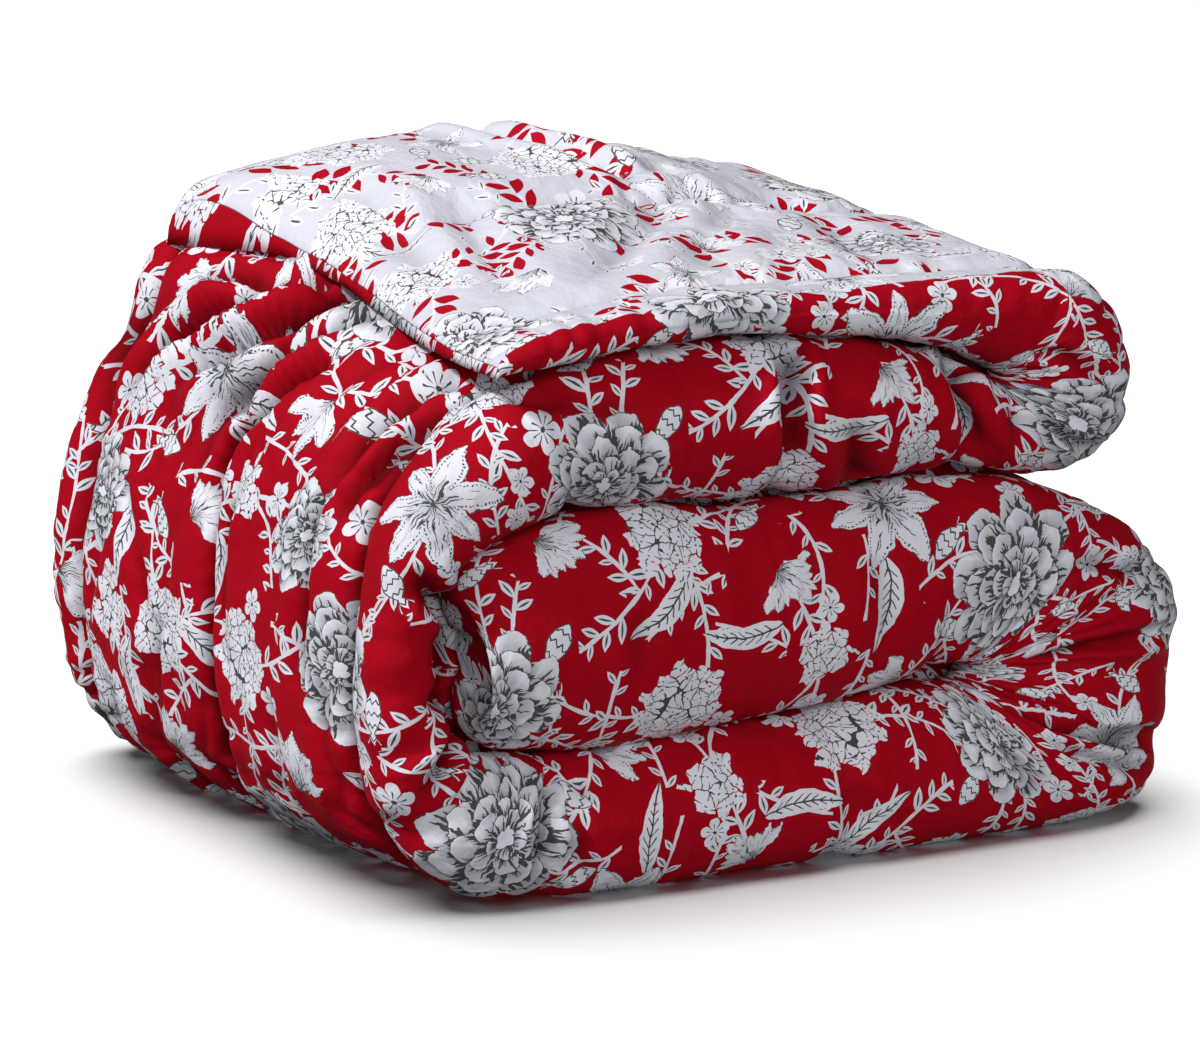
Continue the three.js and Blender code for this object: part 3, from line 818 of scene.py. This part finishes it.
def clusterRows():
    # many four-petalled florets packed in a dome, about 11 mm from one to the next
    perMm = 0.094
    return [
        ("floretAt", "v*", "bloomPlace", (perMm, perMm, 0)),
        ("floretSeed", "v+", "floretAt", "bloomShift"),
        ("floret", "TexVoronoi", "floretSeed", None, 1.0, {"voronoi_dimensions": "2D"}),
        ("floretEdge", "TexVoronoi", "floretSeed", None, 1.0,
         {"voronoi_dimensions": "2D", "feature": "DISTANCE_TO_EDGE"}),
        ("floretFrom", "v-", "floretSeed", "floret.Position"),
        ("floretHome", "v-", "floret.Position", "bloomShift"),
        ("home", "SeparateXYZ", "floretHome"), ("from", "SeparateXYZ", "floretFrom"),
        ("homeAt", "CombineXYZ", "home.X", ("*", "home.Y", 1.15), 0),
        ("homeR", "length", "homeAt"), ("floretR", "length", "floretFrom"),
        ("underR", "length", "floretAt"),
        ("hue", "SeparateColor", "floret.Color"),
        ("floretTurn", "*+", "hue.Red", 3.0, ("atan2", "from.Y", "from.X")),
        ("floretLobe", "abs", ("sin", ("*", "floretTurn", 2.0))),
        ("floretIn", "<", "floretR.Value", ("*+", "floretLobe", 0.22, 0.66)),
        ("floretGap", ">", "floretEdge.Distance", 0.035),
        ("inDome", "<", "homeR.Value", ("*+", "bloomSize", perMm, -0.42)),
        ("clusterPetal", "*", ("*", "floretIn", "floretGap"), "inDome"),
        ("underDome", "<", "underR.Value", ("*+", "bloomSize", perMm, -1.45)),
        ("clusterFill", "max", "clusterPetal", "underDome"),
        # the cuts between a floret's petals, its eye, and the dark ground round it
        ("floretCut", "*", ("<", "floretLobe", 0.17), (">", "floretR.Value", 0.27)),
        ("floretMark", "max", "floretCut", ("<", "floretR.Value", 0.07)),
        ("clusterInk", "max", "floretMark", ("-", 1, "clusterPetal"))]


def lilyRows():
    # long pointed petals round an axis, or a fan of them where the spread is narrow
    return [
        ("sector", "/", ("*", "bloomSpread", 2), "bloomPetals"),
        ("petalAt", "/", ("+", "bloomTurn", "bloomSpread"), "sector"),
        ("petalNumber", "floor", "petalAt"),
        ("petalAngle", "*", ("-", ("fract", "petalAt"), 0.5), "sector"),
        ("petalDraw", "TexWhiteNoise", ("CombineXYZ", "petalNumber", "bloomSeed", 0),
         {"noise_dimensions": "3D"}),
        ("petalScale", "/", "bloomR", ("*+", "petalDraw", 0.26, 0.74)),
        ("petalAlong", "*", "petalScale", ("cos", "petalAngle")),
        ("petalAside", "*", "petalScale", ("sin", "petalAngle")),
        ("petalAcross", "abs", "petalAside"),
        ("petalTip", "^", ("max", ("-", 1, "petalAlong"), 0), 0.85),
        ("petalShape", "*", "petalTip", ("^", "petalAlong", 0.75)),
        ("petalHalf", "*", "petalShape", 0.66),
        ("petalRim", "-", "petalHalf", "petalAcross"),
        ("lilyFill", "*", (">", "petalRim", 0), ("<", ("abs", "bloomTurn"), "bloomSpread")),
        # a line round each petal, broken veins from the throat, and a row of dots
        ("veinAt", "CombineXYZ", ("*", "petalAside", 34), ("*", "petalAlong", 2.2), "petalNumber"),
        ("veinNoise", "TexNoise", "veinAt", None, 1.0, 1.0, 0.5),
        ("veinNeed", "*+", ("/", "petalAcross", "petalHalf"), 0.16,
         ("*+", "petalAlong", 0.36, 0.40)),
        ("lilyLines", "max", ("<", "petalRim", "penWidth"), (">", "veinNoise", "veinNeed")),
        ("dotRow", "abs", ("*+", "petalHalf", -0.70, "petalAcross")),
        ("dots", "*", ("<", "dotRow", 0.011), (">", ("fract", ("*", "petalAlong", 19)), 0.5)),
        ("lilyInk", "max", "lilyLines", "dots"),
        ("lilyShade", "max", ("*+", "petalAlong", -2.2, 1.0), 0)]


def smallRows():
    # the small motifs, drawn from -0.5 to 0.5 along their axis
    return [
        ("smallU", "/", "smallX", ("*", "smallSize", 2)),
        ("smallV", "/", "smallY", ("*", "smallSize", 2)),
        ("smallA", "+", "smallU", 0.5), ("smallW", "abs", "smallV"),
        # pod with zigzag bands and an open crowned tip
        ("podRound", "^", ("max", ("sin", ("*", "smallA", 4.0)), 0), 0.7),
        ("crownHalf", "*", ("-", "smallA", 0.66), 0.62),
        ("crownTooth", "*", ("pingpong", "smallW", 0.075), 1.9),
        ("podRim", "-", ("max", ("*", "podRound", 0.21), "crownHalf"), "smallW"),
        ("podFill", "*", (">", "podRim", 0), ("<", "smallA", ("-", 0.98, "crownTooth"))),
        ("zigzag", "*+", ("pingpong", "smallW", 0.07), 1.1, "smallA"),
        ("podInk", "max", ("<", ("fract", ("*", "zigzag", 4.6)), 0.17), ("<", "podRim", 0.024)),
        # leaf with its side veins inked
        ("leafV", "*+", ("*", "smallU", "smallU"), 0.42, "smallV"),
        ("leafW", "abs", "leafV"),
        ("leafTip", "^", ("max", ("-", 1, "smallA"), 0), 0.9),
        ("leafBase", "^", ("max", "smallA", 0), 0.6),
        ("leafHalf", "*", ("*", "leafTip", "leafBase"), 0.33),
        ("leafRim", "-", "leafHalf", "leafW"), ("leafFill", ">", "leafRim", 0),
        ("veinStep", "*", ("*+", "leafW", -1.5, "smallA"), 9.5),
        ("sideVein", "*", ("<", ("fract", "veinStep"), 0.22), (">", "leafRim", 0.045)),
        ("leafInk", "max", ("<", "leafW", 0.009), "sideVein"),
        # small open flower
        ("roseAt", "length", ("CombineXYZ", "smallX", "smallY", 0)),
        ("roseR", "/", "roseAt.Value", "smallSize"),
        ("roseWave", "sin", ("*", ("atan2", "smallY", "smallX"), 2.5)),
        ("roseLobe", "abs", "roseWave"),
        ("roseEdge", "*+", ("^", "roseLobe", 0.55), 0.58, 0.38),
        ("roseFill", ">", ("-", "roseEdge", "roseR"), 0),
        ("roseCut", "*", ("<", "roseLobe", 0.16), (">", "roseR", 0.22)),
        ("roseVein", "*", (">", "roseLobe", 0.985), ("<", "roseR", 0.55)),
        ("roseMarks", "max", "roseCut", ("<", "roseR", 0.11)),
        ("roseInk", "max", "roseMarks", "roseVein")]


def stemRows(grow):
    # a stem with almond leaves by turns on its two sides
    pitch = 14                                      # millimetres from one leaf to the next
    return [
        ("out", "abs", "aside"), ("side", ">", "aside", 0),
        ("Stalk", "<", "out", ("*+", "wander", 2.6, 0.05)),
        ("turn", "/", ("*+", "side", 6, "along"), pitch),
        ("local", "*", ("fract", "turn"), pitch),
        ("draw", "TexWhiteNoise", ("CombineXYZ", ("floor", "turn"), "side", ("round", "seed")),
         {"noise_dimensions": "3D"}),
        ("size", "*+", "draw", 10 * grow, 7 * grow),
        ("leafAlong", "/", ("*+", "out", 0.75, ("*", "local", 0.66)), "size"),
        ("leafAside", "/", ("*+", "out", 0.66, ("*", "local", -0.75)), "size"),
        ("across", "abs", "leafAside"),
        ("swell", "sin", ("*", ("min", "leafAlong", 1), math.pi)),
        ("half", "*", "swell", 0.19), ("has", ">", "draw", 0.3),
        ("Leaf", "*", (">", ("-", "half", "across"), 0), "has"),
        ("Mark", "*", ("<", "across", ("*+", "half", 0.5, -0.05)), "has")]


def flowerPrint(tree, leafGrow):
    # all of the print's masks: fill, ink, stems and leaves
    made = {"ring": 0, "outGap": 9, "inGap": 9}     # what the peony's rings are counted from
    for stored, names in (("bloom", ("bloomX", "bloomY", "bloomMark")),
                          ("bloomTrait", ("bloomSize", "bloomPetals", "bloomSpread")),
                          ("small", ("rawX", "rawY", "smallMark")),
                          ("smallTrait", ("smallSize",))):
        readStored(tree, made, stored, names)
    addRows(tree, made, [
        # a motif's kind and its seed, from the one whole number that its faces carry
        ("bloomWhole", "round", "bloomMark"), ("bloomKind", "mod", "bloomWhole", 10),
        ("bloomSeed", "floor", ("/", "bloomWhole", 10)),
        ("smallKind", "mod", ("round", "smallMark"), 10),
        # the hand's wander
        ("cloth", "UVMap", {"uv_map": "cloth"}),
        ("wander", "TexNoise", "cloth.UV", None, 62.0, 3.0, 0.55),
        ("wanderMid", "v-", "wander.Color", (0.5, 0.5, 0.5)),
        ("off", "SeparateXYZ", "wanderMid"),
        ("handX", "*+", "off.X", 13, "bloomX"),
        ("handY", "*+", "off.Y", 13, "bloomY"),
        ("smallX", "*+", "off.X", 5, "rawX"), ("smallY", "*+", "off.Y", 5, "rawY"),
        ("penWidth", "*+", "wander", 0.030, -0.004),
        ("bloomPlace", "CombineXYZ", "handX", "handY", 0),
        ("bloomShift", "CombineXYZ", "bloomSeed", "bloomSeed", 0),
        ("bloomLength", "length", "bloomPlace"),
        ("bloomR", "/", "bloomLength.Value", "bloomSize"),
        ("bloomTurn", "atan2", "handY", "handX"),
        *peonyRows(), *clusterRows(), *lilyRows(), *smallRows()])
    for layer, kinds in (("bloom", ("peony", "cluster", "lily")),
                         ("small", ("pod", "leaf", "rose"))):
        fill, ink = layer + "Fill", layer + "Ink"
        made.update({fill: 0, ink: 0})
        for k, kind in enumerate(kinds):
            addRows(tree, made, [
                (kind + "Is", "is", layer + "Kind", k + 1, 0.1),
                (kind + "Has", "*", kind + "Is", kind + "Fill"),
                (fill, "+", fill, kind + "Has"),
                (ink, "*+", kind + "Has", kind + "Ink", ink)])
    for name, grow in (("stem", leafGrow), ("sprig", 1.0)):
        own = {"wander": made["wander"]}
        readStored(tree, own, name, ("along", "aside", "seed"))
        addRows(tree, own, stemRows(grow))
        made.update({name + part: own[part] for part in ("Stalk", "Leaf", "Mark")})
    addRows(tree, made, [
        ("stalks", "max", "stemStalk", "sprigStalk"),
        # the grey wash where one petal goes under the next, and deep in a throat
        ("lilyWash", "*", "lilyShade", "lilyIs"),
        ("wash", "+", ("*", "peonyShade", "peonyIs"), "lilyWash")])
    return made


def clothMaterial(name, paint):
    material = bpy.data.materials.new(name)
    material.use_nodes = True
    tree = material.node_tree
    shader = tree.nodes["Principled BSDF"]
    colour = {key: toLinear(value) for key, value in paint["colours"].items()}
    made = flowerPrint(tree, paint["leafGrow"])
    made["painted"] = colour["ground"]
    rows = [("petals", "MixRGB", "wash", colour["bloom"], colour["wash"])]
    # the screens in the order they are printed, each over the ones before it
    for mask, over in (("stalks", colour["stem"]), ("stemLeaf", colour["leaf"]),
                       ("stemMark", colour["leafMark"]), ("sprigLeaf", colour["sprig"]),
                       ("sprigMark", colour["ink"]), ("smallFill", colour["small"]),
                       ("smallInk", colour["ink"]), ("bloomFill", "petals"),
                       ("bloomInk", colour["ink"])):
        rows.append(("painted", "MixRGB", mask, "painted", over))
    addRows(tree, made, rows + [
        # painted shade: darker deep in the creases, where little light gets in
        ("fold", "Attribute", {"attribute_name": "fold", "attribute_type": "GEOMETRY"}),
        ("painted", "MixRGB", ("*", "fold.Fac", paint["foldShade"]), "painted",
         colour["fold"], {"blend_type": "MULTIPLY"}),
        # the crumpled surface, with the slubs of a plain weave in it
        ("crumpleAt", "v*", "cloth.UV", paint["crumple"]),
        ("crumple", "TexNoise", "crumpleAt", None, 1.0, 2.0, 0.5),
        ("slubAt", "v*", "cloth.UV", paint["slub"]),
        ("slub", "TexNoise", "slubAt", None, 1.0, 1.0, 0.5),
        ("surface", "*+", "slub", paint["slubShare"], "crumple"),
        ("bump", "Bump", paint["bump"], paint["bumpHeight"], None, "surface")])
    tree.links.new(made["painted"], shader.inputs["Base Color"])
    tree.links.new(made["bump"], shader.inputs["Normal"])
    shader.inputs["Roughness"].default_value = paint["roughness"]
    shader.inputs["Specular IOR Level"].default_value = paint["specular"]
    return material


# Both cloths are percale, a fine plain-woven cotton, printed and left unglazed. It looks matt and
# soft, with hardly a highlight, so the folds show by shade alone and the print keeps its colour
# on them. Its threads are about 0.25 mm apart, too fine to show, so the slubs are drawn coarser,
# about 0.5 mm thick and 3 mm long. The crumple is some 12 mm across.
percale = {"roughness": 0.72, "crumple": (85, 85, 1), "slub": (300, 1900, 1), "slubShare": 0.10,
           "bump": 0.5, "bumpHeight": 0.0030}
# the face: white flowers with grey pen lines on crimson, and the tone of the painted shade in its
# creases
crimson = {**percale, "leafGrow": 1.15, "foldShade": 0.9, "specular": 0.04,
           "colours": {"ground": "#9F061A", "bloom": "#DCDCE6", "wash": "#A9AAB2",
                       "ink": "#474A49", "stem": "#D8D8E2", "leaf": "#D8D8E2",
                       "leafMark": "#474A49", "sprig": "#D8D8E2", "small": "#DCDCE6",
                       "fold": "#8E8688"}}
# the reverse: white flowers and red leaves on a pale lilac grey, and the tone of the painted shade
# in its creases
pale = {**percale, "leafGrow": 1.7, "foldShade": 0.5, "specular": 0.06,
        "colours": {"ground": "#CFCFDB", "bloom": "#E8E8F0", "wash": "#C4C4CE",
                    "ink": "#4C4F4E", "stem": "#DEDEE8", "leaf": "#A80A1E",
                    "leafMark": "#A80A1E", "sprig": "#E2E2EA", "small": "#E2E2EA",
                    "fold": "#9E9EA6"}}
quiltBody.data.materials.append(clothMaterial("printed cotton, crimson", crimson))
reverseCloth.data.materials.append(clothMaterial("printed cotton, pale", pale))
for piece in (quiltBody, reverseCloth):
    layPrint(piece)
print("print laid on both cloths")

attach(quiltBody, "root")
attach(reverseCloth, "root")
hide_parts("quilt_body")
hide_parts("reverse_panel")

# A dim studio with a broad key light high on the left, a soft fill in front and, for the floor
# alone, an even overhead light that leaves the bundle its shadow. Metres from here on.
studio = {"floorSize": 16.0, "floorColour": "#FAFAFA", "floorRoughness": 0.9, "floorShine": 0.1,
          "dome": 0.08, "target": (-0.0177, -0.006, 0.190),
          "lens": 165, "distance": 3.82, "azimuth": -29, "elevation": 12, "farthest": 50}
floorMesh = bmesh.new()
bmesh.ops.create_grid(floorMesh, x_segments=1, y_segments=1, size=studio["floorSize"] / 2)
floorData = bpy.data.meshes.new("floor")
floorMesh.to_mesh(floorData)
floorMesh.free()
floor = addObject("floor", floorData)
# painted board, matt white: it takes a soft shadow and mirrors nothing
floorPaint = bpy.data.materials.new("studio floor, matt white")
floorPaint.use_nodes = True
floorShader = floorPaint.node_tree.nodes["Principled BSDF"]
floorShader.inputs["Base Color"].default_value = toLinear(studio["floorColour"])
floorShader.inputs["Roughness"].default_value = studio["floorRoughness"]
floorShader.inputs["Specular IOR Level"].default_value = studio["floorShine"]
floor.data.materials.append(floorPaint)
floor.visible_diffuse = False                       # it throws no light back up

world = bpy.data.worlds.new("studio")
bpy.context.scene.world = world
world.use_nodes = True
world.node_tree.nodes["Background"].inputs["Color"].default_value = (1, 1, 1, 1)
world.node_tree.nodes["Background"].inputs["Strength"].default_value = studio["dome"]
bpy.context.scene.view_settings.view_transform = "Standard"

target = Vector(studio["target"])
lamps = {
    # name: place, softness in degrees, strength, what it lights
    "key": ((-2.6, 0.5, 2.9), 6, 3.1, "quilt"),
    "front": ((-0.9, -2.8, 1.25), 38, 1.95, "quilt"),
    "overhead": ((-0.2, 0.6, 3.0), 66, 4.25, "floor"),
}
lit = {name: bpy.data.collections.new("lit with the " + name) for name in ("quilt", "floor")}
for name, piece in (("quilt", quiltBody), ("quilt", reverseCloth), ("floor", floor)):
    lit[name].objects.link(piece)
for name, (place, softness, strength, shown) in lamps.items():
    lampData = bpy.data.lights.new(name, "SUN")
    lampData.angle = math.radians(softness)
    lampData.energy = strength
    lamp = addObject(name, lampData)
    lamp.light_linking.receiver_collection = lit[shown]
    lamp.location = place
    lamp.rotation_euler = (target - lamp.location).to_track_quat("-Z", "Y").to_euler()

cameraData = bpy.data.cameras.new("camera")
cameraData.lens = studio["lens"]
cameraData.clip_end = studio["farthest"]
camera = addObject("camera", cameraData)
turn, rise = math.radians(studio["azimuth"]), math.radians(studio["elevation"])
back = Vector((math.sin(turn) * math.cos(rise), -math.cos(turn) * math.cos(rise),
               math.sin(rise)))
camera.location = target + back * studio["distance"]
camera.rotation_euler = back.to_track_quat("Z", "Y").to_euler()
bpy.context.scene.camera = camera
print("studio: floor, %d lamps and camera" % len(lamps))
